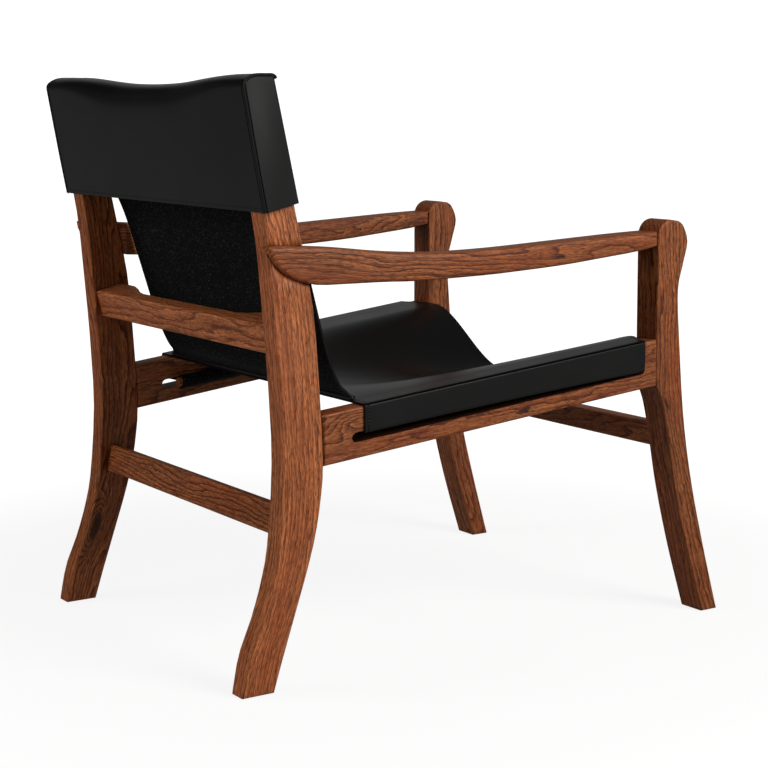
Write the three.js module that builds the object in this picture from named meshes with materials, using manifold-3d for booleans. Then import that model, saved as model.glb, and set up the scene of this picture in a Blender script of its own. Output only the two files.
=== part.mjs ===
// Leather sling lounge chair: a jointed hardwood frame with a seat and a back of thick leather.
// Millimetres. Z is up, the chair faces -Y, and its left side is +X.
import * as THREE from 'three';
import { mergeVertices } from 'three/addons/utils/BufferGeometryUtils.js';
import Module from 'manifold-3d';

const wasm = await Module();
wasm.setup();

// Running clearance between two pieces that touch, and how far a cut runs past what it cuts
const fit = 0.3;
const overrun = 20;

// Rear legs, which run up as the back posts
const rearLegHeight = 799;
const rearLegTopDrop = 9;
const rearLegThickness = 32;
const rearLegOuter = 289.5;
const rearLegWaist = 298.5;
const rearLegSweep = 61;
const rearLegRounding = 3.5;
const rearLegBackShares = [
  [0, 1], [0.063, 0.836], [0.125, 0.508], [0.188, 0.254], [0.25, 0.107], [0.375, 0],
  [0.5, 0.07], [0.625, 0.205], [0.75, 0.37], [0.87, 0.665], [1, 0.985],
];
const rearLegFrontShares = [
  [0, 0.23], [0.063, -0.033], [0.125, -0.307], [0.188, -0.587], [0.25, -0.82], [0.314, -0.967],
  [0.375, -1.02], [0.5, -0.93], [0.625, -0.782], [0.75, -0.459], [0.88, -0.085], [1, 0.27],
];

// Front legs, which run up as the arm posts and end in a rounded head
const frontLegHeight = 595;
const frontLegThickness = 47.5;
const frontLegOuter = 313;
const frontLegBack = -322;
const frontLegSweep = 129;
const frontLegRounding = 3.5;
const headRounding = 24;
const frontLegBackShares = [
  [0, 0.767], [0.168, 0.516], [0.328, 0.318], [0.454, 0.202], [0.541, 0.109], [0.588, 0.02], [0.61, 0],
];
const frontLegFrontShares = [
  [0.996, 0.31], [0.983, 0.385], [0.943, 0.45], [0.887, 0.385], [0.824, 0.318], [0.706, 0.345],
  [0.504, 0.434], [0.336, 0.574], [0.168, 0.775], [0, 1],
];

// Armrests: a slim rail that deepens to a rounded nose where it laps the rear leg
const armNoseBehindWaist = 21.5;
const armBelowHead = 67;
const armRearDepth = 57;
const armStandsProud = 7;
const armRounding = 6;
const armTopShares = [
  [0.969, 0.98], [0.888, 0.912], [0.824, 0.85], [0.751, 0.754], [0.676, 0.675],
  [0.575, 0.623], [0.436, 0.649], [0.276, 0.737], [0.107, 0.833], [0, 0.877],
];
const armBottomShares = [
  [0, 0.51], [0.053, 0.404], [0.165, 0.272], [0.276, 0.158], [0.436, 0.053],
  [0.565, 0.01], [0.657, 0], [0.738, 0.026], [0.863, 0.035],
];
const armLapHousing = 8;
const armTenonWidth = 24;
const armTenonHeight = 11;
const armTenonLength = 22;
const armPinRadius = 4;
const armPinLength = 21;
const armPinEndInset = 6;
const armPinPlaceShares = { front: [0.945, 0.6], rear: [0.972, 0.78] };

// Side rails: a slotted board that rises to the front
const railRearTop = 359;
const railFrontTop = 420.5;
const railHeight = 68.3;
const railThickness = 32;
const railRounding = 3;
const railTenonThickness = 12;
const railTenonShoulder = 12;
const railTenonLength = 26;
const slotHeight = 13;
const slotDrop = 39.5;
const slotRearSpare = 18;
const slotFrontSpare = 2;

// Cross rails between the two sides
const backRailBelowArm = 50;
const backRailBehindWaist = 6.5;
const backRailHeight = 41;
const backRailEndDepth = 44;
const backRailMiddleDepth = 24;
const backRailScoopHalf = 140;
const backRailScoopRun = 75;
const backRailTilt = -14;
const rearStretcherTop = 238.5;
const rearStretcherInset = 14.5;
const rearStretcherHeight = 40.5;
const rearStretcherDepth = 18;
const rearStretcherTilt = 11;
const frontStretcherTop = 288;
const frontStretcherInset = 30;
const frontStretcherHeight = 34;
const frontStretcherDepth = 28;
const crossRailRounding = 3.5;
const crossTenonLength = 20;
const crossTenonShoulder = 5;

// Leather sling and the dowels that lock it in the slots
const leather = 3.2;
const dowelRadius = 7.5;
const dowelInset = 4;
const seatRearSetback = 61.5;
const seatFrontSetback = 25;
const seatSag = 88;
const seatSagEarlyShare = 0.35;
const seatHollowShare = 0.16;
const seatShoulderShares = { left: 0.84, right: 1 };
const seamFlange = 20;
const seamSetback = 3;
const seamGap = 0.8;
const backSlingEase = 0.5;
const backSlingWaist = 10;
const backSlingWaistShare = 0.17;
const backSlingPathShares = [
  [0, 0], [0.055, 0.035], [0.145, 0.08], [0.27, 0.185], [0.4, 0.335], [0.515, 0.485], [0.63, 0.635],
  [0.78, 0.82], [0.9, 0.935], [1, 1],
];
const bandAboveArm = 42;
const bandFrontRise = 10;
const gussetRearEase = 10.3;
const gussetFrontEase = 3.3;
const bandDip = 12.5;
const bandEase = 0.8;

// How finely curves are divided
const legSteps = 26;
const armSteps = 24;
const noseSteps = 8;
const headSteps = 6;
const roundingSteps = 3;
const slotSteps = 8;
const scoopSteps = 24;
const dowelSides = 20;
const pinSides = 14;
const seatSteps = 10;
const seatStations = 8;
const cornerSteps = 3;
const loopSteps = 14;
const backSteps = 24;
const backColumns = 14;
const bandSteps = 6;

// The sharpest corner that keeps its full mitre when an outline is grown
const leastMitreShare = 0.5;

const woodColor = 0x86502f;
const dowelColor = 0x8d5534;
const leatherColor = 0x232323;

const wood = () => new THREE.MeshStandardMaterial({ color: woodColor, roughness: 0.55, metalness: 0 });
const pinWood = () => new THREE.MeshStandardMaterial({ color: dowelColor, roughness: 0.6, metalness: 0 });
const hide = () => new THREE.MeshStandardMaterial({ color: leatherColor, roughness: 0.45, metalness: 0 });

// Solids

function solidOf(geometry) {
  const bare = geometry.clone();
  bare.deleteAttribute('normal');
  bare.deleteAttribute('uv');
  const merged = mergeVertices(bare);
  return new wasm.Manifold(new wasm.Mesh({
    numProp: 3,
    vertProperties: new Float32Array(merged.attributes.position.array),
    triVerts: new Uint32Array(merged.index.array),
  }));
}

function geometryOf(solid) {
  const mesh = solid.getMesh();
  const geometry = new THREE.BufferGeometry();
  geometry.setAttribute('position', new THREE.BufferAttribute(mesh.vertProperties, 3));
  geometry.setIndex(new THREE.BufferAttribute(mesh.triVerts, 1));
  return geometry;
}

function cutFrom(geometry, ...tools) {
  return geometryOf(tools.reduce((solid, tool) => solid.subtract(solidOf(tool)), solidOf(geometry)));
}

function joined(geometry, ...others) {
  return geometryOf(others.reduce((solid, other) => solid.add(solidOf(other)), solidOf(geometry)));
}

// Moves every vertex to where the rule puts it
function reshaped(geometry, rule) {
  const place = geometry.attributes.position;
  const point = new THREE.Vector3();
  for (let i = 0; i < place.count; i += 1) {
    point.fromBufferAttribute(place, i);
    rule(point);
    place.setXYZ(i, point.x, point.y, point.z);
  }
  return geometry;
}

function mirrored(geometry) {
  const copy = reshaped(geometry.clone(), (point) => { point.x = -point.x; });
  if (!copy.index) {
    copy.setIndex([...Array(copy.attributes.position.count).keys()]);
  }
  const index = copy.index;
  for (let i = 0; i < index.count; i += 3) {
    const second = index.getX(i + 1);
    index.setX(i + 1, index.getX(i + 2));
    index.setX(i + 2, second);
  }
  return copy;
}

// A side outline of (y, z) points, given thickness along X from the inner face outward
function sidePlate(points, inner, thickness, rounding = 0) {
  const shape = new THREE.Shape(points);
  const geometry = new THREE.ExtrudeGeometry(shape, {
    depth: thickness - 2 * rounding,
    steps: 1,
    bevelEnabled: rounding > 0,
    bevelThickness: rounding,
    bevelSize: rounding,
    bevelOffset: -rounding,
    bevelSegments: roundingSteps,
  });
  const turn = new THREE.Matrix4().makeBasis(
    new THREE.Vector3(0, 1, 0), new THREE.Vector3(0, 0, 1), new THREE.Vector3(1, 0, 0));
  geometry.applyMatrix4(turn);
  geometry.translate(inner + rounding, 0, 0);
  return geometry;
}

function block(xFrom, xTo, yFrom, yTo, zFrom, zTo) {
  const geometry = new THREE.BoxGeometry(xTo - xFrom, yTo - yFrom, zTo - zFrom);
  return geometry.translate((xFrom + xTo) / 2, (yFrom + yTo) / 2, (zFrom + zTo) / 2);
}

// A closed outline moved outward by a distance, for the cut that a neighbour leaves
function grown(points, distance) {
  const count = points.length;
  const turn = THREE.ShapeUtils.area(points) > 0 ? 1 : -1;
  return points.map((point, i) => {
    const before = point.clone().sub(points[(i + count - 1) % count]).normalize();
    const after = points[(i + 1) % count].clone().sub(point).normalize();
    const across = before.clone().add(after).normalize();
    const square = Math.max(Math.sqrt((1 + before.dot(after)) / 2), leastMitreShare);
    return new THREE.Vector2(across.y, -across.x).multiplyScalar(turn * distance / square).add(point);
  });
}

// A sheet of even thickness about a grid of points, closed along its edges
function sheetSolid(grid, thickness) {
  const rows = grid.length;
  const columns = grid[0].length;
  const at = (i, j) => grid[Math.min(Math.max(i, 0), rows - 1)][Math.min(Math.max(j, 0), columns - 1)];
  const vertices = [];
  for (const side of [1, -1]) {
    for (let i = 0; i < rows; i += 1) {
      for (let j = 0; j < columns; j += 1) {
        const along = at(i + 1, j).clone().sub(at(i - 1, j));
        const across = at(i, j + 1).clone().sub(at(i, j - 1));
        const normal = along.cross(across).normalize();
        vertices.push(...at(i, j).clone().addScaledVector(normal, side * thickness / 2).toArray());
      }
    }
  }
  const top = (i, j) => i * columns + j;
  const low = (i, j) => rows * columns + i * columns + j;
  const faces = [];
  const quad = (a, b, c, d) => faces.push(a, b, c, a, c, d);
  for (let i = 0; i < rows - 1; i += 1) {
    for (let j = 0; j < columns - 1; j += 1) {
      quad(top(i, j), top(i + 1, j), top(i + 1, j + 1), top(i, j + 1));
      quad(low(i, j), low(i, j + 1), low(i + 1, j + 1), low(i + 1, j));
    }
    quad(low(i, 0), low(i + 1, 0), top(i + 1, 0), top(i, 0));
    quad(top(i, columns - 1), top(i + 1, columns - 1), low(i + 1, columns - 1), low(i, columns - 1));
  }
  for (let j = 0; j < columns - 1; j += 1) {
    quad(top(0, j), top(0, j + 1), low(0, j + 1), low(0, j));
    quad(low(rows - 1, j), low(rows - 1, j + 1), top(rows - 1, j + 1), top(rows - 1, j));
  }
  const geometry = new THREE.BufferGeometry();
  geometry.setAttribute('position', new THREE.Float32BufferAttribute(vertices, 3));
  geometry.setIndex(faces);
  return geometry;
}

const between = (from, to, share) => from + (to - from) * share;
const smooth = (share) => share * share * (3 - 2 * share);
const clamped = (share) => Math.min(Math.max(share, 0), 1);

// How far a tenon's root runs back into its own piece, and a mortise's cut out of its face
const rootOf = (growth) => (growth > 0 ? overrun : overrun / 2);

function pointsThrough(places, steps) {
  return new THREE.SplineCurve(places).getPoints(steps);
}

// Rear legs

const rearLegInner = rearLegOuter - rearLegThickness;

function rearLegEdge(shares, height) {
  return shares.map(([up, out]) => new THREE.Vector2(rearLegWaist + rearLegSweep * out, height * up));
}

const rearLegBackTop = rearLegHeight - rearLegTopDrop;
const rearLegBackEdge = pointsThrough(rearLegEdge(rearLegBackShares, rearLegBackTop), legSteps);
const rearLegFrontEdge = pointsThrough(rearLegEdge(rearLegFrontShares, rearLegHeight), legSteps);
const rearLegOutline = [...rearLegBackEdge, ...rearLegFrontEdge.slice().reverse()];

// Where an edge of a leg lies at a height
function edgeAt(edge, height) {
  const above = edge.findIndex((point) => point.y > height);
  const last = above < 0 ? edge.length - 1 : Math.max(above, 1);
  const from = edge[last - 1];
  const to = edge[last];
  return between(from.x, to.x, (height - from.y) / (to.y - from.y));
}

// Front legs

const frontLegInner = frontLegOuter - frontLegThickness;

function frontLegOutlinePoints() {
  const place = ([up, out]) => new THREE.Vector2(frontLegBack - frontLegSweep * out, frontLegHeight * up);
  const back = pointsThrough(frontLegBackShares.map(place), legSteps);
  const front = pointsThrough(frontLegFrontShares.map(place), legSteps + headSteps);
  const crown = [];
  for (let i = 0; i < headSteps; i += 1) {
    const angle = (i / headSteps) * Math.PI / 2;
    crown.push(new THREE.Vector2(
      frontLegBack - headRounding * (1 - Math.cos(angle)),
      frontLegHeight - headRounding * (1 - Math.sin(angle))));
  }
  crown.push(new THREE.Vector2(frontLegBack - headRounding, frontLegHeight));
  return [...back, ...crown, ...front];
}

const frontLegOutline = frontLegOutlinePoints();

// Side rails: how the board, its slot, its dowel and the leather on it lean along their length

const railRearEnd = edgeAt(rearLegFrontEdge, railRearTop - railHeight / 2);
const seatRearEdge = railRearEnd - seatRearSetback;
const seatFrontEdge = frontLegBack + seatFrontSetback;
const slotRearEnd = seatRearEdge + slotRearSpare;
const slotFrontEnd = seatFrontEdge - slotFrontSpare;
const railRun = railRearEnd - frontLegBack;
const railTopAt = (y) => between(railRearTop, railFrontTop, (railRearEnd - y) / railRun);
const railOuterAt = (y) => between(rearLegOuter, frontLegOuter, (railRearEnd - y) / railRun);

// Built with its top at zero and its outer face at zero, then set in place
function leanWithRail(geometry) {
  return reshaped(geometry, (point) => {
    point.x += railOuterAt(point.y);
    point.z += railTopAt(point.y);
  });
}

function railTenon(yFrom, yTo, growth) {
  const half = railTenonThickness / 2 + growth;
  const middle = -railThickness / 2;
  const top = -railTenonShoulder + growth;
  const low = -railHeight + railTenonShoulder - growth;
  return leanWithRail(block(middle - half, middle + half, yFrom, yTo, low, top));
}

const railRearTenon = (growth) => railTenon(
  railRearEnd - rootOf(growth), railRearEnd + railTenonLength + growth, growth);
const railFrontTenon = (growth) => railTenon(
  frontLegBack - railTenonLength - growth, frontLegBack + rootOf(growth), growth);

function slotCut() {
  const half = slotHeight / 2;
  const points = [];
  for (const [end, start] of [[slotRearEnd - half, -Math.PI / 2], [slotFrontEnd + half, Math.PI / 2]]) {
    for (let i = 0; i <= slotSteps; i += 1) {
      const angle = start + (i / slotSteps) * Math.PI;
      points.push(new THREE.Vector2(end + half * Math.cos(angle), -slotDrop + half * Math.sin(angle)));
    }
  }
  return leanWithRail(sidePlate(points, -railThickness - overrun, railThickness + 2 * overrun));
}

function sideRail() {
  const rear = railRearEnd + overrun;
  const front = frontLegBack + fit;
  const corners = [[rear, 0], [front, 0], [front, -railHeight], [rear, -railHeight]];
  const outline = corners.map(([y, z]) => new THREE.Vector2(y, z));
  const board = leanWithRail(sidePlate(outline, -railThickness, railThickness, railRounding));
  const legCut = sidePlate(
    grown(rearLegOutline, fit), rearLegInner - overrun, rearLegThickness + 2 * overrun);
  const shaped = cutFrom(board, legCut, slotCut());
  return joined(shaped, railRearTenon(0), railFrontTenon(0));
}

// Armrests

const armRearEnd = rearLegWaist + armNoseBehindWaist;
const armRearOuter = rearLegOuter + armStandsProud;
const armLow = frontLegHeight - armBelowHead;
const armLength = armRearEnd - frontLegBack;
const armOuterAt = (y) => between(armRearOuter, frontLegOuter, (armRearEnd - y) / armLength);
const armInnerAt = (y) => between(rearLegInner, frontLegInner, (armRearEnd - y) / armLength);
const armPlace = ([along, up]) => new THREE.Vector2(
  frontLegBack + fit + (armLength - fit) * along, armLow + armRearDepth * up);

function armOutlinePoints() {
  const bottom = pointsThrough(armBottomShares.map(armPlace), armSteps);
  const top = pointsThrough(armTopShares.map(armPlace), armSteps);
  const heel = bottom[bottom.length - 1];
  const noseTop = top[0].y;
  const nose = [];
  for (let i = 1; i < noseSteps; i += 1) {
    const angle = (i / noseSteps) * Math.PI / 2;
    nose.push(new THREE.Vector2(
      heel.x + (armRearEnd - heel.x) * Math.sin(angle),
      noseTop - (noseTop - heel.y) * Math.cos(angle)));
  }
  nose.push(new THREE.Vector2(armRearEnd, noseTop));
  return [...bottom, ...nose, ...top];
}

const armOutline = armOutlinePoints();

// Sets a plate that is one unit thick between the arm's inner and outer faces
function spreadAcrossArm(geometry, nominal) {
  return reshaped(geometry, (point) => {
    point.x = between(armInnerAt(point.y), armOuterAt(point.y), point.x / nominal);
  });
}

function armTenon(growth) {
  const topFront = armPlace(armTopShares[armTopShares.length - 1]).y;
  const lowFront = armPlace(armBottomShares[0]).y;
  const middle = (frontLegInner + frontLegOuter) / 2;
  const height = (topFront + lowFront) / 2;
  const halfWidth = armTenonWidth / 2 + growth;
  const halfHeight = armTenonHeight / 2 + growth;
  return block(middle - halfWidth, middle + halfWidth, frontLegBack - armTenonLength - growth,
    frontLegBack + rootOf(growth), height - halfHeight, height + halfHeight);
}

const lapFloor = rearLegOuter - armLapHousing;

function armPin(shares, growth) {
  const place = armPlace(shares);
  const length = armPinLength + 2 * growth;
  const pin = new THREE.CylinderGeometry(armPinRadius + growth, armPinRadius + growth, length, pinSides);
  pin.rotateZ(Math.PI / 2);
  const outerEnd = armRearOuter - armPinEndInset;
  return pin.translate(outerEnd - armPinLength / 2, place.x, place.y);
}

function armrest() {
  const nominal = frontLegThickness;
  const plate = spreadAcrossArm(sidePlate(armOutline, 0, nominal, armRounding), nominal);
  const legCut = sidePlate(grown(rearLegOutline, fit), rearLegInner - overrun,
    lapFloor + fit - rearLegInner + overrun);
  const behind = block(rearLegInner - overrun, lapFloor + fit, edgeAt(rearLegBackEdge, armLow),
    armRearEnd + overrun, armLow - overrun, armLow + armRearDepth + overrun);
  const pins = Object.values(armPinPlaceShares).map((shares) => armPin(shares, fit));
  return joined(cutFrom(plate, legCut, behind, ...pins), armTenon(0));
}

// The nose's housing in the rear leg's outer face
function armHousing() {
  return sidePlate(grown(armOutline, fit), lapFloor, overrun);
}

// Cross rails: each is a plank whose rear top edge lies at (rear, top), tilted about that edge

function backRailDepthAt(x) {
  const run = clamped((Math.abs(x) - backRailScoopHalf) / backRailScoopRun);
  return between(backRailMiddleDepth, backRailEndDepth, smooth(run));
}

const crossRails = {
  lower_back_rail: {
    inner: rearLegInner,
    rear: rearLegWaist + backRailBehindWaist,
    top: armLow - backRailBelowArm,
    height: backRailHeight,
    tilt: backRailTilt,
    steps: scoopSteps,
    depthAt: backRailDepthAt,
  },
  rear_stretcher: {
    inner: rearLegInner,
    rear: rearLegWaist - rearStretcherInset,
    top: rearStretcherTop,
    height: rearStretcherHeight,
    tilt: rearStretcherTilt,
    steps: 1,
    depthAt: () => rearStretcherDepth,
  },
  front_stretcher: {
    inner: frontLegInner,
    rear: frontLegBack - frontStretcherInset,
    top: frontStretcherTop,
    height: frontStretcherHeight,
    tilt: 0,
    steps: 1,
    depthAt: () => frontStretcherDepth,
  },
};

function setInPlace(geometry, rail) {
  geometry.rotateX(THREE.MathUtils.degToRad(rail.tilt));
  return geometry.translate(0, rail.rear, rail.top);
}

// The plank runs past both legs, lies along X and has its rear top edge at zero
function crossPlank(rail) {
  const half = rail.inner + overrun;
  const outline = [new THREE.Vector2(half, 0), new THREE.Vector2(-half, 0)];
  for (let i = 0; i <= rail.steps; i += 1) {
    const x = between(-half, half, i / rail.steps);
    outline.push(new THREE.Vector2(x, -rail.depthAt(x)));
  }
  const geometry = new THREE.ExtrudeGeometry(new THREE.Shape(outline), {
    depth: rail.height - 2 * crossRailRounding,
    steps: 1,
    bevelEnabled: true,
    bevelThickness: crossRailRounding,
    bevelSize: crossRailRounding,
    bevelOffset: -crossRailRounding,
    bevelSegments: roundingSteps,
  });
  return geometry.translate(0, 0, crossRailRounding - rail.height);
}

function crossTenons(rail, growth) {
  const shoulder = crossTenonShoulder - growth;
  const left = block(rail.inner - rootOf(growth), rail.inner + crossTenonLength + growth,
    -rail.depthAt(rail.inner) + shoulder, -shoulder, -rail.height + shoulder, -shoulder);
  return [left, mirrored(left)].map((tenon) => setInPlace(tenon, rail));
}

function crossRail(rail) {
  const plank = setInPlace(crossPlank(rail), rail);
  const box = new THREE.Box3().setFromBufferAttribute(plank.attributes.position).expandByScalar(overrun);
  const beyond = block(rail.inner - fit, box.max.x, box.min.y, box.max.y, box.min.z, box.max.z);
  return joined(cutFrom(plank, beyond, mirrored(beyond)), ...crossTenons(rail, 0));
}

// Legs with their mortises

function rearLeg() {
  const plate = sidePlate(rearLegOutline, rearLegInner, rearLegThickness, rearLegRounding);
  const pins = Object.values(armPinPlaceShares).map((shares) => armPin(shares, fit));
  const { lower_back_rail: backRail, rear_stretcher: stretcher } = crossRails;
  return cutFrom(plate, armHousing(), railRearTenon(fit), ...crossTenons(backRail, fit),
    ...crossTenons(stretcher, fit), ...pins);
}

function frontLeg() {
  const plate = sidePlate(frontLegOutline, frontLegInner, frontLegThickness, frontLegRounding);
  const mortises = crossTenons(crossRails.front_stretcher, fit);
  return cutFrom(plate, armTenon(fit), railFrontTenon(fit), ...mortises);
}

// Leather and its dowels

const lift = fit + leather / 2;
const loopRadius = dowelRadius + lift;
const dowelFromRail = loopRadius + lift;
const seatLength = seatRearEdge - seatFrontEdge;

function slingDowel() {
  const from = seatFrontEdge + dowelInset;
  const to = seatRearEdge - dowelInset;
  const rod = new THREE.CylinderGeometry(dowelRadius, dowelRadius, to - from, dowelSides);
  rod.translate(-railThickness - dowelFromRail, (from + to) / 2, 0);
  return leanWithRail(reshaped(rod, (point) => { point.z -= slotDrop; }));
}

function seatSagAt(y) {
  const along = clamped((seatRearEdge - y) / seatLength);
  return seatSag * along * (1 + seatSagEarlyShare * (1 - along));
}

// How far down the seat lies, as a share of its sag, from the middle out to a side's rail
function seatDropShare(across, side) {
  const run = clamped((across - seatHollowShare) / (seatShoulderShares[side] - seatHollowShare));
  return 1 - smooth(run);
}

function seatSurfaceAt(x, y) {
  const side = x < 0 ? 'right' : 'left';
  const across = Math.abs(x) / (railOuterAt(y) - railThickness);
  return railTopAt(y) + lift - seatSagAt(y) * seatDropShare(across, side);
}

function arcPoints(centre, radius, from, to, steps) {
  const points = [];
  for (let i = 0; i <= steps; i += 1) {
    const angle = between(from, to, i / steps);
    points.push([centre[0] + radius * Math.cos(angle), centre[1] + radius * Math.sin(angle)]);
  }
  return points;
}

// Half of the seat's cross section at one place along it: from the middle to the rail,
// over its top, down its outer face, in through the slot and round the dowel.
// The part in the slot stops short of the slot's round front end.
function seatHalfSection(y, sign) {
  const outer = railOuterAt(y);
  const inner = outer - railThickness;
  const top = railTopAt(y);
  const corner = [outer - railRounding, top - railRounding];
  const above = [];
  for (let i = 0; i <= seatSteps; i += 1) {
    const x = inner * i / seatSteps;
    above.push([x, seatSurfaceAt(sign * x, y)]);
  }
  above.push(...arcPoints(corner, railRounding + lift, Math.PI / 2, 0, cornerSteps));

  const yInSlot = Math.max(y, slotFrontEnd + slotHeight / 2 + fit);
  const face = railOuterAt(yInSlot);
  const slotMiddle = railTopAt(yInSlot) - slotDrop;
  const slotTop = slotMiddle + slotHeight / 2;
  const dowel = [face - railThickness - dowelFromRail, slotMiddle];
  const meets = Math.asin((slotTop - lift - slotMiddle) / loopRadius);
  const below = [
    ...arcPoints([face, slotTop], lift, 0, -Math.PI / 2, cornerSteps),
    ...arcPoints(dowel, loopRadius, meets, 2 * Math.PI - meets, loopSteps),
  ];
  return [
    ...above.map(([x, z]) => new THREE.Vector3(sign * x, y, z)),
    ...below.map(([x, z]) => new THREE.Vector3(sign * x, yInSlot, z)),
  ];
}

function seatSling() {
  const grid = [];
  for (let i = 0; i <= seatStations; i += 1) {
    const y = between(seatRearEdge, seatFrontEdge, i / seatStations);
    grid.push([...seatHalfSection(y, -1).slice(1).reverse(), ...seatHalfSection(y, 1)]);
  }
  return sheetSolid(grid, leather);
}

// The back sling's middle surface from the seam on the seat up to the top of the posts
const seamRear = seatRearEdge - seamSetback;
const backSlingHalfWidth = rearLegInner - backSlingEase;
const bandRearBottom = armLow + armRearDepth + bandAboveArm;
const bandFrontBottom = bandRearBottom + bandFrontRise;
const bandHalfWidth = rearLegOuter + gussetRearEase + leather;
const bandFrontHalfWidth = rearLegOuter + gussetFrontEase + leather;
const slingTop = rearLegHeight - lift;
const frontPanelAt = (z) => edgeAt(rearLegFrontEdge, z) - lift - bandEase;

function backSlingPath() {
  const low = new THREE.Vector2(seamRear, seatSurfaceAt(0, seamRear) + leather + seamGap);
  const high = new THREE.Vector2(frontPanelAt(bandFrontBottom), bandFrontBottom);
  const curve = backSlingPathShares.map(([out, up]) => new THREE.Vector2(
    between(low.x, high.x, out), between(low.y, high.y, up)));
  const flange = new THREE.Vector2(seamRear - seamFlange, low.y);
  const top = new THREE.Vector2(frontPanelAt(slingTop), slingTop);
  return { flange, sweep: pointsThrough(curve, backSteps), top };
}

function backSlingHalfWidthAt(share) {
  const reach = share < backSlingWaistShare ? share / backSlingWaistShare
    : (1 - share) / (1 - backSlingWaistShare);
  return backSlingHalfWidth - backSlingWaist * smooth(reach);
}

// The top of the sleeve dips between the posts
function dipAt(x) {
  const across = clamped(Math.abs(x) / rearLegInner);
  return bandDip * Math.cos(across * Math.PI / 2) ** 2;
}

function rowAcross(halfWidth, place) {
  const row = [];
  for (let j = 0; j <= backColumns; j += 1) {
    const x = between(halfWidth, -halfWidth, j / backColumns);
    row.push(new THREE.Vector3(x, ...place(x)));
  }
  return row;
}

function backSling() {
  const { flange, sweep, top } = backSlingPath();
  const rows = [];
  const onSeat = (x, y) => seatSurfaceAt(x, y) + leather + seamGap;
  rows.push(rowAcross(backSlingHalfWidth, (x) => [flange.x, onSeat(x, flange.x)]));
  sweep.forEach((point, i) => {
    const share = i / (sweep.length - 1);
    const rise = (x) => (onSeat(x, seamRear) - onSeat(0, seamRear)) * (1 - share);
    rows.push(rowAcross(backSlingHalfWidthAt(share), (x) => [point.x, point.y + rise(x)]));
  });
  const shoulder = sweep[sweep.length - 1];
  for (let i = 0; i <= bandSteps; i += 1) {
    const share = i / bandSteps;
    const z = between(shoulder.y + leather, top.y, share);
    rows.push(rowAcross(bandFrontHalfWidth, (x) => [frontPanelAt(z), z - dipAt(x) * share]));
  }
  return sheetSolid(rows, leather);
}

// The sleeve's rear panel: from its seam at the top of the back sling, over the posts and down
function backBand() {
  const frontTop = new THREE.Vector2(edgeAt(rearLegFrontEdge, rearLegHeight), rearLegHeight);
  const backTop = new THREE.Vector2(edgeAt(rearLegBackEdge, rearLegBackTop), rearLegBackTop);
  const lean = Math.atan2(rearLegTopDrop, backTop.x - frontTop.x);
  const hem = edgeAt(rearLegBackEdge, bandRearBottom);
  const rearLean = Math.atan2(backTop.x - hem, backTop.y - bandRearBottom);
  const path = arcPoints([frontTop.x, frontTop.y], lift, Math.PI - lean, Math.PI / 2 - lean, cornerSteps);
  path.push(...arcPoints([backTop.x, backTop.y], lift, Math.PI / 2 - lean, -rearLean, cornerSteps));
  const last = path[path.length - 1];
  for (let i = 1; i <= bandSteps; i += 1) {
    const z = between(last[1], bandRearBottom, i / bandSteps);
    path.push([edgeAt(rearLegBackEdge, z) + lift / Math.cos(rearLean), z]);
  }
  const rows = path.map(([y, z]) => {
    const weight = clamped((z - bandRearBottom) / (rearLegHeight - bandRearBottom)) ** 2;
    return rowAcross(bandHalfWidth, (x) => [y, z - dipAt(x) * weight]);
  });
  return sheetSolid(rows, leather);
}

// A side gusset closes the sleeve along the outer face of a post
function bandGusset() {
  const frontX = bandFrontHalfWidth - leather / 2;
  const rearX = bandHalfWidth - leather / 2;
  const grid = [];
  for (let i = 0; i <= bandSteps; i += 1) {
    const rearZ = between(bandRearBottom, rearLegBackTop, i / bandSteps);
    const frontZ = between(bandFrontBottom, rearLegHeight, i / bandSteps);
    grid.push([
      new THREE.Vector3(rearX, edgeAt(rearLegBackEdge, rearZ), rearZ),
      new THREE.Vector3(frontX, edgeAt(rearLegFrontEdge, frontZ), frontZ),
    ]);
  }
  return sheetSolid(grid, leather);
}

// Assembly

const chair = new THREE.Group();

function add(name, geometry, material) {
  const mesh = new THREE.Mesh(geometry, material);
  mesh.name = name;
  chair.add(mesh);
}

function addPair(name, geometry, material) {
  add(`${name}_left`, geometry, material());
  add(`${name}_right`, mirrored(geometry), material());
}

addPair('rear_leg', rearLeg(), wood);
addPair('front_leg', frontLeg(), wood);
addPair('side_rail', sideRail(), wood);
addPair('armrest', armrest(), wood);
for (const [place, shares] of Object.entries(armPinPlaceShares)) {
  addPair(`armrest_${place}_pin`, armPin(shares, 0), pinWood);
}
for (const [name, rail] of Object.entries(crossRails)) {
  add(name, crossRail(rail), wood());
}
addPair('sling_dowel', slingDowel(), pinWood);
add('seat_sling', seatSling(), hide());
add('back_sling', backSling(), hide());
add('back_band', backBand(), hide());
addPair('band_gusset', bandGusset(), hide);

// The origin is on the floor, in the middle of the chair's length
const box = new THREE.Box3().setFromObject(chair);
chair.position.y = -(box.min.y + box.max.y) / 2;

export default chair;
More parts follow.
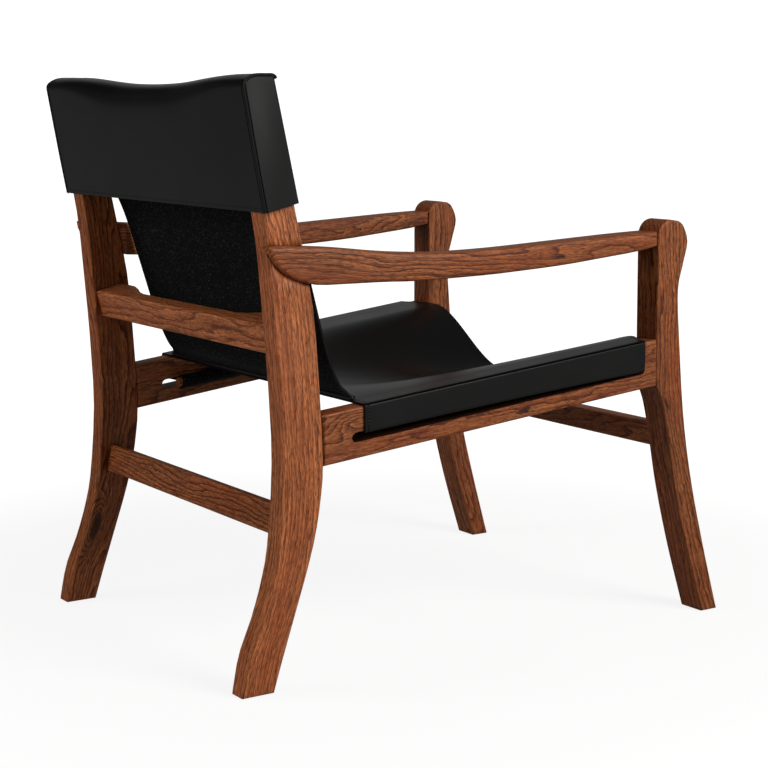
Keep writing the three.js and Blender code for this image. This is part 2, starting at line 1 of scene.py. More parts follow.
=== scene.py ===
import math
from functools import partial
import bpy
import bmesh
import numpy as np
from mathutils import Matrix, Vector


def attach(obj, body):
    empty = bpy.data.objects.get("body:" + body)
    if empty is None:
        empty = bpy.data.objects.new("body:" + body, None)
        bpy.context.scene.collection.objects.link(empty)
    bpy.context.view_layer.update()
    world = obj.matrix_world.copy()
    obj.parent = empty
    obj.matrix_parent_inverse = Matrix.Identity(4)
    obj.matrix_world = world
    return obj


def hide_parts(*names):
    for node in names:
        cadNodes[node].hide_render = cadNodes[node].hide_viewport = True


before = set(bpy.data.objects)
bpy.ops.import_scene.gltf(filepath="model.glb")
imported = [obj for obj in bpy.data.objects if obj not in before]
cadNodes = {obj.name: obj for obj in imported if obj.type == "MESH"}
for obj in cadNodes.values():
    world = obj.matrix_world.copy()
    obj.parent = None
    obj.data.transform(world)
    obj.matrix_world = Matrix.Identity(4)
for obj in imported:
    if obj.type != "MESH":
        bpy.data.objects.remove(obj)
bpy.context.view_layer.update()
scene = bpy.context.scene
rowShift = 44.4875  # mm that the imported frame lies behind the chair's own drawing
perMetre = 1000  # mm


# Small helpers, for shapes drawn in millimetres with the chair's front toward -Y

def linear(hexColour):
    channels = [int(hexColour[i:i + 2], 16) / 255 for i in (1, 3, 5)]
    return [c / 12.92 if c <= 0.04045 else ((c + 0.055) / 1.055) ** 2.4 for c in channels] + [1.0]


def addNode(tree, family, kind, inputs=None, output=0, stops=(), **settings):
    # stops are the places of a colour ramp, each with a hex colour or a level of grey
    node = tree.nodes.new(family + kind)
    for name, value in settings.items():
        setattr(node, name, value)
    for key, value in (inputs or {}).items():
        if isinstance(value, bpy.types.NodeSocket):
            tree.links.new(value, node.inputs[key])
        else:
            node.inputs[key].default_value = value
    if stops:
        marks = node.color_ramp.elements
        while len(marks) < len(stops):
            marks.new(0.5)
        for mark, (place, colour) in zip(marks, stops):
            mark.position = place
            mark.color = linear(colour) if isinstance(colour, str) else [colour] * 3 + [1.0]
    return node if output is None or not node.outputs else node.outputs[output]


def newMaterial(name, surface):
    # surface adds the nodes that it needs and gives the sockets of the shader
    material = bpy.data.materials.new(name)
    material.use_nodes = True
    material.node_tree.nodes.clear()
    add = partial(addNode, material.node_tree, "ShaderNode")
    shader = add("BsdfPrincipled", surface(add))
    add("OutputMaterial", {"Surface": shader})
    return material


def toRow(points):
    return (np.asarray(points, float) + [0.0, rowShift, 0.0]) / perMetre


def newObject(name, mesh, *materials):
    piece = bpy.data.objects.new(name, mesh)
    scene.collection.objects.link(piece)
    for material in materials:
        mesh.materials.append(material)
    return piece


def newMesh(name, bm):
    mesh = bpy.data.meshes.new(name)
    bm.to_mesh(mesh)
    bm.free()
    return mesh


def meshFrom(name, points, faces, links=()):
    mesh = bpy.data.meshes.new(name)
    mesh.from_pydata([tuple(p) for p in points], links, faces)
    mesh.polygons.foreach_set("use_smooth", [True] * len(faces))
    return mesh


def meshPoints(mesh):
    points = np.empty(len(mesh.vertices) * 3)
    mesh.vertices.foreach_get("co", points)
    return points.reshape(-1, 3)


def setVectors(mesh, name, values):
    attribute = mesh.attributes.new(name, "FLOAT_VECTOR", "POINT")
    attribute.data.foreach_set("vector", np.asarray(values, np.float32).ravel())


def easeEdges(piece, width, angle):
    eased = piece.modifiers.new("eased_edges", "BEVEL")
    eased.width = width
    eased.segments = 2
    eased.limit_method = "ANGLE"
    eased.angle_limit = math.radians(angle)


def finishPiece(piece, slot, *replaced):
    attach(piece, "root")
    if replaced:
        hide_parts(*replaced)
    return piece


def splineThrough(points, steps):
    points = np.asarray(points, float)
    last = len(points) - 1
    curve = []
    for i in range(steps + 1):
        place = last * i / steps
        k = min(int(place), last - 1)
        t = place - k
        a, b, c, d = (points[min(max(j, 0), last)] for j in (k - 1, k, k + 1, k + 2))
        leaving, arriving = (c - a) / 2, (d - b) / 2
        cubic = 2 * b - 2 * c + leaving + arriving
        square = 3 * c - 3 * b - 2 * leaving - arriving
        curve.append(cubic * t ** 3 + square * t ** 2 + leaving * t + b)
    return np.array(curve)


def arcPoints(centre, radius, start, end, steps):
    angles = np.linspace(start, end, steps + 1)
    return [(centre[0] + radius * math.cos(a), centre[1] + radius * math.sin(a)) for a in angles]


def between(a, b, share):
    return a + (b - a) * share


def smooth(share):
    share = np.clip(share, 0, 1)
    return share * share * (3 - 2 * share)


# Sizes that the pieces share, the same as in the part's source

leg = {
    "height": 799, "backTop": 790, "thickness": 32, "outer": 289.5, "waist": 298.5, "sweep": 61, "steps": 240,
    # each edge's places as shares of the height and of the sweep
    "backShares": [(0, 1), (0.063, 0.836), (0.125, 0.508), (0.188, 0.254), (0.25, 0.107), (0.375, 0),
                   (0.5, 0.07), (0.625, 0.205), (0.75, 0.37), (0.87, 0.665), (1, 0.985)],
    "frontShares": [(0, 0.23), (0.063, -0.033), (0.125, -0.307), (0.188, -0.587), (0.25, -0.82),
                    (0.314, -0.967), (0.375, -1.02), (0.5, -0.93), (0.625, -0.782), (0.75, -0.459),
                    (0.88, -0.085), (1, 0.27)],
}
leg["inner"] = leg["outer"] - leg["thickness"]
frontLeg = {
    "height": 595, "outer": 313, "back": -322, "sweep": 129, "steps": 200,
    "backShares": [(0, 0.767), (0.168, 0.516), (0.328, 0.318), (0.454, 0.202), (0.541, 0.109), (0.61, 0.0),
                   (1, 0.0)],
    "frontShares": [(0, 1), (0.168, 0.775), (0.336, 0.574), (0.504, 0.434), (0.706, 0.345), (0.824, 0.318),
                    (1, 0.31)],
}
rail = {
    "rearTop": 359, "frontTop": 420.5, "height": 68.3, "middleDrop": 34, "thickness": 32,
    "slotHeight": 13, "slotDrop": 39.5,
}
fit = 0.3  # between the leather and the wood
leather = 3.2  # thick
lift = fit + leather / 2  # from the wood to the leather's middle
edgeTail = 12  # points at an edge's top that give its direction beyond it


def edgeCurve(start, sweep, height, shares, steps):
    places = [(start + sweep * out, height * up) for up, out in shares]
    return splineThrough(places, steps)


legBack = edgeCurve(leg["waist"], leg["sweep"], leg["backTop"], leg["backShares"], leg["steps"])
legFront = edgeCurve(leg["waist"], leg["sweep"], leg["height"], leg["frontShares"], leg["steps"])
frontLegEdges = [
    edgeCurve(frontLeg["back"], -frontLeg["sweep"], frontLeg["height"], frontLeg[name], frontLeg["steps"])
    for name in ("backShares", "frontShares")]


def edgeAt(edge, z):
    high, before = edge[-1], edge[-edgeTail]
    if z > high[1]:
        return high[0] + (high[0] - before[0]) * (z - high[1]) / (high[1] - before[1])
    return float(np.interp(z, edge[:, 1], edge[:, 0]))


railRearEnd = edgeAt(legFront, rail["rearTop"] - rail["height"] / 2)
railRun = railRearEnd - frontLeg["back"]


def railTopAt(y):
    return between(rail["rearTop"], rail["frontTop"], (railRearEnd - y) / railRun)


def railOuterAt(y):
    return between(leg["outer"], frontLeg["outer"], (railRearEnd - y) / railRun)


# Camera and light

view = {
    "place": (-2.2910, 1.5236, 0.7694), "yaw": 123.43, "pitch": -5.538, "lens": 85.62, "sensor": 36,
    "shift": (0.0130, -0.14), "farthest": 60,
}
cameraData = bpy.data.cameras.new("photo_camera")
cameraData.lens = view["lens"]
cameraData.sensor_width = view["sensor"]
cameraData.shift_x, cameraData.shift_y = view["shift"]
cameraData.clip_end = view["farthest"]
camera = bpy.data.objects.new("photo_camera", cameraData)
camera.location = view["place"]
camera.rotation_euler = (math.radians(90 + view["pitch"]), 0, -math.radians(view["yaw"]))
scene.collection.objects.link(camera)
scene.camera = camera
scene.view_settings.view_transform = "Standard"

# direction from the chair, distance and size in metres, power in watts; one that isn't mirrored lights the
# wood but leaves no highlight on the leather
softboxes = {
    "key_softbox": {"toward": (-0.80, -0.28, 0.46), "distance": 3.2, "size": 1.5, "power": 99,
                    "colour": "#fffcf9"},
    "far_softbox": {"toward": (0.82, -0.28, 0.50), "distance": 2.8, "size": 1.3, "power": 1.0},
    "front_softbox": {"toward": (0.50, -0.62, 0.62), "distance": 2.8, "size": 1.6, "power": 0.4},
    "top_softbox": {"toward": (0.12, 0.30, 1.0), "distance": 2.6, "size": 1.4, "power": 7},
    "rear_softbox": {"toward": (0.32, 0.88, 0.32), "distance": 3.0, "size": 1.5, "power": 38,
                     "colour": "#fdfdff", "mirrored": False},
    "side_softbox": {"toward": (-0.50, 0.82, 0.25), "distance": 3.0, "size": 1.5, "power": 15,
                     "mirrored": False},
}
chairMiddle = Vector((0, 0, 0.4))
for name, box in softboxes.items():
    lamp = bpy.data.lights.new(name, "AREA")
    lamp.shape = "SQUARE"
    lamp.size = box["size"]
    lamp.energy = box["power"]
    lamp.color = linear(box.get("colour", "#ffffff"))[:3]
    toward = Vector(box["toward"]).normalized()
    softbox = bpy.data.objects.new(name, lamp)
    softbox.location = chairMiddle + toward * box["distance"]
    softbox.rotation_euler = toward.to_track_quat("Z", "Y").to_euler()
    softbox.visible_glossy = box.get("mirrored", True)
    scene.collection.objects.link(softbox)

# the camera sees plain white; the chair is lit by a pale horizon under a dark ceiling, paler before the chair
# than behind it
sky = {
    "levels": [(0.0, 0.28), (0.15, 0.46), (0.28, 0.36), (0.42, 0.05), (0.75, 0.05), (1.0, 0.1)],
    "fadesFrom": -0.48, "fadesTo": 0.05, "behind": 0.14, "tint": (0.98, 1.0, 1.0), "backdrop": 1.2,
}
studio = bpy.data.worlds.new("pale_studio")
studio.use_nodes = True
studio.node_tree.nodes.clear()
add = partial(addNode, studio.node_tree, "ShaderNode")
way = add("TexCoord", output="Generated")
sides = add("SeparateXYZ", {0: way}, output=None).outputs
horizon = add("ValToRGB", {0: sides["Z"]}, stops=sky["levels"])
ahead = add("MapRange", {
    "Value": sides["Y"], "From Min": sky["fadesFrom"], "From Max": sky["fadesTo"], "To Min": 1.0,
    "To Max": sky["behind"]})
horizon = add("VectorMath", {0: horizon, "Scale": ahead}, operation="SCALE")
horizon = add("VectorMath", {0: horizon, 1: sky["tint"]}, operation="MULTIPLY")
seen = add("LightPath", output="Is Camera Ray")
backdrop = [sky["backdrop"]] * 3 + [1]
shown = add("Mix", {0: seen, 6: horizon, 7: backdrop}, output=2, data_type="RGBA")
shown = add("Background", {"Color": shown, "Strength": 1.0})
add("OutputWorld", {"Surface": shown})
scene.world = studio


# Pale floor

floor = {"reach": 14, "drop": 0.0006, "nearGlow": 0.87, "farGlow": 1.1, "glowFrom": 0.55, "glowTo": 1.9,
         "glowOnChair": 0.17}


# matt paint that glows for the camera, so that its shadows stay as faint as the photograph's and it fades to
# white with distance; the chair gets a weaker glow from it
def floorPaint(add):
    place = add("TexCoord", output="Object")
    away = add("VectorMath", {0: place}, output="Value", operation="LENGTH")
    glow = add("MapRange", {
        "Value": away, "From Min": floor["glowFrom"], "From Max": floor["glowTo"],
        "To Min": floor["nearGlow"], "To Max": floor["farGlow"]}, interpolation_type="SMOOTHSTEP")
    seen = add("LightPath", output="Is Camera Ray")
    seen = add("Math", {0: seen, 1: floor["glowOnChair"]}, operation="MAXIMUM")
    glow = add("Math", {0: glow, 1: seen}, operation="MULTIPLY")
    return {"Base Color": linear("#595959"), "Roughness": 0.9, "Emission Color": linear("#ffffff"),
            "Emission Strength": glow}


reach = floor["reach"]
corners = [(x, y, -floor["drop"])
           for x, y in ((-reach, -reach), (reach, -reach), (reach, reach), (-reach, reach))]
floorMesh = meshFrom("studio_floor", corners, [(0, 1, 2, 3)])
newObject("studio_floor", floorMesh, newMaterial("matt_white_studio_paint", floorPaint))
print("camera, lights and floor are set")


# Hardwood: a reddish, open-pored board timber, planed and oiled

timber = {  # sizes in metres
    "ringSpacing": 0.0052, "slowBend": 6.5, "quickBend": 1.5, "knotBend": 7.0,  # bends in ring spacings
    "knotSize": (0.026, 0.0085, 0.0085), "knotFade": -0.4,
    "ringColours": [(0.0, "#a66236"), (0.45, "#9a582e"), (0.76, "#804121"), (0.87, "#40190b"),
                    (0.92, "#502411"), (1.0, "#a66236")],
    "calmColours": [(0.0, "#9a5c39"), (0.6, "#8f532f"), (0.88, "#733e24"), (1.0, "#9a5c39")],
    "lateWood": [(0.6, 0.0), (0.87, 1.0), (1.0, 0.0)],
    # features per metre along and across the grain, detail, roughness, and the ramp for the noise; real
    # fibres are finer than the 1.3 mm drawn here, and would not show
    "strong": ((5, 38, 38), 2, 0.5, [(0.36, 0.3), (0.58, 1.0)]),
    "fibre": ((110, 800, 800), 2, 0.6, [(0.36, 0.44), (0.50, 1.00), (0.66, 1.26)]),
    "streak": ((20, 400, 400), 2, 0.6, [(0.36, 0.60), (0.50, 1.00), (0.66, 1.18)]),
    "patch": ((3.2, 20, 20), 3, 0.5, [(0.3, 0.84), (0.7, 1.14)]),
    "red": ((4, 26, 26), 2, 0.5, [(0.42, 0.0), (0.72, 0.45)]),
    "redColour": "#783519", "poreColour": "#451a0b", "knotColour": "#281108", "pinKnotColour": "#1f0d06",
    # the pale edge colour is part wear, part painted highlight; the near-black one is painted shade on slot
    # walls
    "wearAndHighlightColour": "#a86b48", "paintedSlotShadeColour": "#0c0402", "wearAndHighlight": 0.16, "paintedSlotShade": -0.9, "relief": 0.0005,
}


# The eye sees dark growth-ring lines that follow each board, short dark pores, lighter and darker patches,
# and eased edges that catch the light. The "grain" attribute runs along the board in x, and across it from
# the tree's heart in y and z.
def hardwoodSurface(add):
    grain, knot, board = (add("Attribute", output="Vector", attribute_name=name)
                          for name in ("grain", "knot", "board"))
    tone, wave, figure = add("SeparateXYZ", {0: board}, output=None).outputs
    edge = add("Attribute", output="Fac", attribute_name="edge")

    def stretched(scale, detail=2, roughness=0.5):  # scale is features per metre along and across the grain
        place = add("VectorMath", {0: grain, 1: scale}, operation="MULTIPLY")
        return add("TexNoise", {"Vector": place, "Scale": 1.0, "Detail": detail, "Roughness": roughness})

    strong, fibre, streak, patch, red = (
        add("ValToRGB", {0: stretched(*noise)}, stops=stops)
        for *noise, stops in (timber[name] for name in ("strong", "fibre", "streak", "patch", "red")))

    # growth rings about 5 mm apart, bent by slow waves and gathered round knots
    across = add("VectorMath", {0: grain, 1: (0, 1, 1)}, operation="MULTIPLY")
    radius = add("VectorMath", {0: across}, output="Value", operation="LENGTH")
    rings = add("Math", {0: radius, 1: 1 / timber["ringSpacing"]}, operation="MULTIPLY")
    slow = add("Math", {0: stretched((5.0, 24, 24), 1.0), 1: wave}, operation="MULTIPLY")
    quick = add("Math", {0: stretched((26, 90, 90)), 1: wave}, operation="MULTIPLY")
    perKnot = [1 / size for size in timber["knotSize"]]
    knotPlace = add("VectorMath", {0: knot, 1: perKnot}, operation="MULTIPLY")
    knotFar = add("VectorMath", {0: knotPlace}, output="Value", operation="LENGTH")
    knotBump = add("Math", {0: knotFar, 1: 2.0}, operation="POWER")
    knotBump = add("Math", {0: knotBump, 1: timber["knotFade"]}, operation="MULTIPLY")
    knotBump = add("Math", {0: knotBump}, operation="EXPONENT")
    for layer, bend in ((slow, "slowBend"), (quick, "quickBend"), (knotBump, "knotBend")):
        rings = add("Math", {0: layer, 1: timber[bend], 2: rings}, operation="MULTIPLY_ADD")
    phase = add("Math", {0: rings}, operation="FRACT")

    # each ring goes from pale early wood to a thin dark late line; how dark differs from place to place
    ringWood = add("ValToRGB", {0: phase}, stops=timber["ringColours"])
    calmWood = add("ValToRGB", {0: phase}, stops=timber["calmColours"])
    late = add("ValToRGB", {0: phase}, stops=timber["lateWood"])
    strong = add("Math", {0: strong, 1: figure}, operation="MULTIPLY")
    wood = add("Mix", {0: strong, 6: calmWood, 7: ringWood}, output=2, data_type="RGBA")

    # fine fibres and streaks, and patches of redder and darker timber
    shade = tone
    for layer in (patch, streak, fibre):
        shade = add("Math", {0: layer, 1: shade}, operation="MULTIPLY")
    wood = add("VectorMath", {0: wood, "Scale": shade}, operation="SCALE")

    # open pores lie thickest in the late wood: real ones are 0.3 mm wide, drawn about 0.8 mm wide and 7 mm
    # long so that they show
    lateFigure = add("Math", {0: late, 1: figure}, operation="MULTIPLY")
    pores = add("Math", {0: lateFigure, 1: 0.10, 2: stretched((80, 820, 820), 1.0)},
                operation="MULTIPLY_ADD")
    pores = add("ValToRGB", {0: pores}, stops=[(0.61, 0.0), (0.71, 0.58)])

    # one large knot where a board has one, and pin knots about 3 mm across here and there
    knotDark = add("ValToRGB", {0: knotFar}, stops=[(0.0, 0.92), (0.75, 0.72), (1.5, 0.0)])
    cells = add("VectorMath", {0: grain, 1: (8.5, 34, 34)}, operation="MULTIPLY")
    pinKnot = add("TexVoronoi", {"Vector": cells, "Scale": 1.0}, output="Distance")
    pinKnot = add("ValToRGB", {0: pinKnot}, stops=[(0.0, 0.9), (0.05, 0.75), (0.10, 0.0)])

    # eased edges are paler, part wear, part painted highlight; the slots' walls get near-black painted shade
    wearAndHighlight, paintedSlotShade = (add("Math", {0: edge, 1: timber[name]}, operation="MULTIPLY")
                  for name in ("wearAndHighlight", "paintedSlotShade"))
    for layer, name in ((red, "red"), (pores, "pore"), (knotDark, "knot"), (pinKnot, "pinKnot"),
                        (wearAndHighlight, "wearAndHighlight"), (paintedSlotShade, "paintedSlotShade")):
        colour = linear(timber[f"{name}Colour"])
        wood = add("Mix", {0: layer, 6: wood, 7: colour}, output=2, data_type="RGBA")

    dry = add("Math", {0: stretched((14, 120, 120)), 1: 0.14, 2: 0.42}, operation="MULTIPLY_ADD")
    dry = add("Math", {0: pores, 1: 0.25, 2: dry}, operation="MULTIPLY_ADD")
    height = add("Math", {0: fibre, 1: 0.4}, operation="MULTIPLY")
    for layer, depth in ((late, -0.25), (pores, -1.0)):
        height = add("Math", {0: layer, 1: depth, 2: height}, operation="MULTIPLY_ADD")
    bump = add("Bump", {"Height": height, "Strength": 0.45, "Distance": timber["relief"]})
    return {"Base Color": wood, "Roughness": dry, "Specular IOR Level": 0.19, "Normal": bump}


hardwood = newMaterial("oiled_open_pored_hardwood", hardwoodSurface)


# Boards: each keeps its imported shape, and its grain follows its own middle line

def middleLine(edgeA, edgeB, high):
    places = np.linspace(0, high, 80)
    middle = [(edgeAt(edgeA, z) + edgeAt(edgeB, z)) / 2 for z in places]
    return np.array(list(zip(places, middle)))


railLine = [(y, railTopAt(y) - rail["middleDrop"]) for y in (-330, 260)]
armLine = [(-322, 567), (-250, 560), (-150, 552), (-50, 549), (60, 548), (180, 553), (320, 562)]
crossLine = [(-400, 0), (400, 0)]
boardRuns = {  # the axis along which each kind of board runs, and its middle line as (along, across) in mm
    "rear_leg": (2, middleLine(legBack, legFront, leg["height"])),
    "front_leg": (2, middleLine(*frontLegEdges, frontLeg["height"])),
    "side_rail": (1, railLine), "armrest": (1, armLine),
    "lower_back_rail": (0, crossLine), "rear_stretcher": (0, crossLine), "front_stretcher": (0, crossLine),
}
# how far the tree's heart lies from the board's middle, in mm, how it leans, the board's tone, wave and
# figure, and the place of its knot in mm
boards = {
    "rear_leg_right": {"heart": (84, 46), "lean": (0.02, 0.01), "look": (1.22, 0.7, 0.30)},
    "rear_leg_left": {"heart": (-60, 62), "lean": (-0.02, 0.03), "look": (0.82, 0.9, 1.3),
                      "knot": (118, 11, -14)},
    "front_leg_right": {"heart": (70, 60), "lean": (0.03, 0.0), "look": (0.68, 0.9, 1.2)},
    "front_leg_left": {"heart": (-55, 76), "lean": (0.02, 0.03), "look": (0.70, 0.9, 1.1)},
    "side_rail_right": {"heart": (14, 52), "lean": (0.04, 0.02), "look": (0.70, 1.1, 1.1),
                        "knot": (186, 14, -16)},
    "side_rail_left": {"heart": (-25, 45), "lean": (0.03, -0.04), "look": (0.78, 1.1, 1.0)},
    "armrest_right": {"heart": (38, 44), "lean": (0.04, 0.02), "look": (0.73, 0.8, 1.1)},
    "armrest_left": {"heart": (6, -34), "lean": (-0.03, 0.03), "look": (0.74, 1.4, 1.1)},
    "lower_back_rail": {"heart": (42, -48), "lean": (0.02, 0.04), "look": (1.08, 0.7, 0.5)},
    "rear_stretcher": {"heart": (46, -26), "lean": (0.03, 0.03), "look": (0.72, 0.75, 1.5)},
    "front_stretcher": {"heart": (14, -38), "lean": (-0.03, 0.04), "look": (0.80, 1.1, 1.1)},
}
boardMesh = {
    "joinWithin": 2e-5, "flatWithin": 0.6, "slice": 0.014,  # metres, degrees, metres
    "easedLength": 0.004, "easedTurns": (22, 50), "fullTurn": 60, "sharpFrom": 42, "slotShare": 0.55,
    "noKnot": (9000, 0, 0), "apart": 1700,  # mm: out of reach, and from one board's grain to the next
}


def mergedCopy(name, axis=None):
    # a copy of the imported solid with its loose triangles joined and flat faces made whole, sliced along axis
    bm = bmesh.new()
    bm.from_mesh(cadNodes[name].data)
    bmesh.ops.remove_doubles(bm, verts=bm.verts[:], dist=boardMesh["joinWithin"])
    flat = math.radians(boardMesh["flatWithin"])
    bmesh.ops.dissolve_limit(bm, angle_limit=flat, verts=bm.verts[:], edges=bm.edges[:])
    if axis is not None:
        step = boardMesh["slice"]
        places = [v.co[axis] for v in bm.verts]
        normal = Vector([float(i == axis) for i in range(3)])
        for place in np.arange(min(places) + step / 2, max(places), step):
            everything = bm.verts[:] + bm.edges[:] + bm.faces[:]
            bmesh.ops.bisect_plane(bm, geom=everything, dist=1e-6, plane_co=normal * place, plane_no=normal)
    bmesh.ops.triangulate(bm, faces=[f for f in bm.faces if len(f.verts) > 4])
    return bm


def inSlot(point):
    x, y, z = point * perMetre
    y -= rowShift
    within = railOuterAt(y) - rail["thickness"] + 1 < abs(x) < railOuterAt(y) - 1
    return within and abs(z - railTopAt(y) + rail["slotDrop"]) < rail["slotHeight"] * boardMesh["slotShare"]


def markEdges(bm, name):
    # the edge value grows to 1 on an eased edge, painted paler, and is -1 on a slot's walls, painted as shade
    edgeLayer = bm.faces.layers.float.new("edge")
    least, most = boardMesh["easedTurns"]
    for face in bm.faces:
        long = [e for e in face.edges if e.calc_length() > boardMesh["easedLength"]]
        turns = [math.degrees(e.calc_face_angle(0)) for e in long]
        face[edgeLayer] = min(sum(t for t in turns if least < t < most) / boardMesh["fullTurn"], 1.0)
        # a slot's walls are marked for painted shade
        if name.startswith("side_rail") and inSlot(face.calc_center_median()):
            face[edgeLayer] = -1
        face.smooth = True


def dressBoard(name, board, seed):
    axis, line = next(run for kind, run in boardRuns.items() if name.startswith(kind))
    bm = mergedCopy(name, axis)
    markEdges(bm, name)
    mesh = newMesh(f"{name}_board", bm)

    places = meshPoints(mesh) * perMetre - [0, rowShift, 0]
    lineAlong, lineAcross = np.array(line, float).T
    stride, rise = np.gradient(lineAlong), np.gradient(lineAcross)
    run = np.hypot(stride, rise)
    length = np.concatenate([[0], np.cumsum((run[1:] + run[:-1]) / 2)]) + lineAlong[0]
    along = places[:, axis]
    across = places[:, 2] if axis != 2 else places[:, 1]
    depth = places[:, 0] if axis != 0 else places[:, 1]
    if axis == 0:
        across = across - across.mean()
    else:
        lean = np.arctan(np.interp(along, lineAlong, rise / stride))
        across = (across - np.interp(along, lineAlong, lineAcross)) * np.cos(lean)
    depth = depth - depth.mean()
    u = np.interp(along, lineAlong, length)
    v = across - board["heart"][0] - board["lean"][0] * u
    w = depth - board["heart"][1] - board["lean"][1] * u
    setVectors(mesh, "grain", np.stack([u + boardMesh["apart"] * seed, v, w], 1) / perMetre)
    knot = board.get("knot", boardMesh["noKnot"])
    setVectors(mesh, "knot", np.stack([u - knot[0], across - knot[1], depth - knot[2]], 1) / perMetre)
    setVectors(mesh, "board", np.tile(np.float32(board["look"]), len(places)))
    mesh.set_sharp_from_angle(angle=math.radians(boardMesh["sharpFrom"]))
    piece = newObject(mesh.name, mesh, hardwood)
    weighted = piece.modifiers.new("even_faces", "WEIGHTED_NORMAL")
    weighted.keep_sharp = True
    weighted.mode = "FACE_AREA"
    return finishPiece(piece, "frame_wood", name)


for seed, (name, board) in enumerate(boards.items()):
    dressBoard(name, board, seed)
print("frame boards are dressed")


# Dowels and pins: turned from the same timber, seen mostly as end grain

rodAxes = {"sling_dowel": 1, "armrest_front_pin": 0, "armrest_rear_pin": 0}
rod = {  # metres and degrees
    "heart": (0.03, 0.012), "start": 20, "look": (0.98, 0.4, 0.8), "noKnot": 9, "easing": 0.0008,
    "sharpFrom": 50,
}


def dressRod(name, axis, number):
    bm = mergedCopy(name)
    for face in bm.faces:
        face.smooth = len(face.verts) == 4
    mesh = newMesh(f"{name}_rod", bm)
    places = meshPoints(mesh)
    middle = places.mean(0)
    first, second = (i for i in range(3) if i != axis)
    setVectors(mesh, "grain", np.stack([
        places[:, axis] + rod["start"] + number, places[:, first] - middle[first] + rod["heart"][0],
        places[:, second] - middle[second] + rod["heart"][1]], 1))
    setVectors(mesh, "knot", np.full(places.shape, rod["noKnot"]))
    setVectors(mesh, "board", np.tile(np.float32(rod["look"]), len(places)))
    mesh.set_sharp_from_angle(angle=math.radians(rod["sharpFrom"]))
    piece = newObject(mesh.name, mesh, hardwood)
    easeEdges(piece, rod["easing"], rod["sharpFrom"])
    finishPiece(piece, "dowel_wood", name)


for number, (kind, axis) in enumerate(rodAxes.items()):
    for side in ("left", "right"):
        dressRod(f"{kind}_{side}", axis, number)
print("dowels and pins are dressed")


# Bridle leather: vegetable tanned, dyed black, waxed and smooth on its grain side

# The eye sees a deep, even black with a satin sheen, faint pebbling and slow cloudiness.
def grainSurface(add):
    place = add("TexCoord", output="Object")
    paintedShade = add("Attribute", output="Fac", attribute_name="paintedShade")
    cloud = add("TexNoise", {"Vector": place, "Scale": 9, "Detail": 3})
    colour = add("ValToRGB", {0: cloud}, stops=[(0.3, "#090909"), (0.7, "#0d0d0d")])
    colour = add("Mix", {0: paintedShade, 6: colour, 7: linear("#030303")}, output=2, data_type="RGBA")
    # creases, seams and stitch grooves get painted shade: darker, and without the wax's shine
    shine = add("MapRange", {"Value": paintedShade, "To Min": 0.23, "To Max": 0.0})
    slow = add("TexNoise", {"Vector": place, "Scale": 14, "Detail": 2})
    rough = add("Math", {0: slow, 1: 0.08, 2: 0.33}, operation="MULTIPLY_ADD")
    # hide pebbles are 0.5 mm across, drawn 1.4 mm across so that they show at all
    pebble = add("TexVoronoi", {"Vector": place, "Scale": 720, "Smoothness": 0.6},
                 feature="SMOOTH_F1")
    fine = add("TexNoise", {"Vector": place, "Scale": 260, "Detail": 3})
    height = add("Math", {0: fine, 1: 0.5, 2: pebble}, operation="MULTIPLY_ADD")
    bump = add("Bump", {"Height": height, "Strength": 0.10, "Distance": 0.0004})
    return {"Base Color": colour, "Specular IOR Level": shine, "Roughness": rough, "Normal": bump}


# The flesh side is sueded: nearly black, without shine, with a short nap that leaves pale specks. Its tufts
# are under 1 mm, drawn about 2.4 mm across so that they show.
def suedeSurface(add):
    place = add("TexCoord", output="Object")
    nap = add("TexNoise", {"Vector": place, "Scale": 420, "Detail": 3, "Roughness": 0.7})
    colour = add("ValToRGB", {0: nap}, stops=[(0.3, "#050505"), (0.58, "#080808"), (0.70, "#484848")])
    bump = add("Bump", {"Height": nap, "Strength": 0.6, "Distance": 0.0006})
    return {"Base Color": colour, "Roughness": 0.95, "Specular IOR Level": 0.1, "Sheen Weight": 0.02,
            "Sheen Roughness": 0.5, "Normal": bump}


# Cut edges are inked and rubbed, so they are black with a slight polish along the fibres, which are 0.5 mm
# wide and drawn 2 mm wide.
def cutEdgeSurface(add):
    place = add("TexCoord", output="Object")
    fibres = add("TexNoise", {"Vector": place, "Scale": 500, "Detail": 2})
    bump = add("Bump", {"Height": fibres, "Strength": 0.3, "Distance": 0.0003})
    return {"Base Color": linear("#080808"), "Roughness": 0.6, "Specular IOR Level": 0.12, "Normal": bump}


# Waxed linen thread: strands twisted 0.6 mm apart, black, with a dull shine on each stitch.
def threadSurface(add):
    place = add("TexCoord", output="Object")
    strands = add("TexWave", {"Vector": place, "Scale": 500, "Distortion": 1.0})
    bump = add("Bump", {"Height": strands, "Strength": 0.4, "Distance": 0.0002})
    return {"Base Color": linear("#1c1c1c"), "Roughness": 0.45, "Normal": bump}


grainLeather = newMaterial("black_waxed_bridle_leather", grainSurface)
suede = newMaterial("black_suede_flesh_side", suedeSurface)
cutEdge = newMaterial("black_burnished_leather_edge", cutEdgeSurface)
thread = newMaterial("black_waxed_linen_thread", threadSurface)


# Leather sheets: closed pieces, each about a grid of points

sheet = {"cutEasing": 0.0007, "cutEasedFrom": 60, "sharpFrom": 50, "overSurface": 0.2}
surfaces = {}  # the grain side of each sheet, in mm, where its stitches lie


def gridNormals(grid):
    normal = np.cross(np.gradient(grid, axis=0), np.gradient(grid, axis=1))
    return normal / np.maximum(np.linalg.norm(normal, axis=2, keepdims=True), 1e-9)


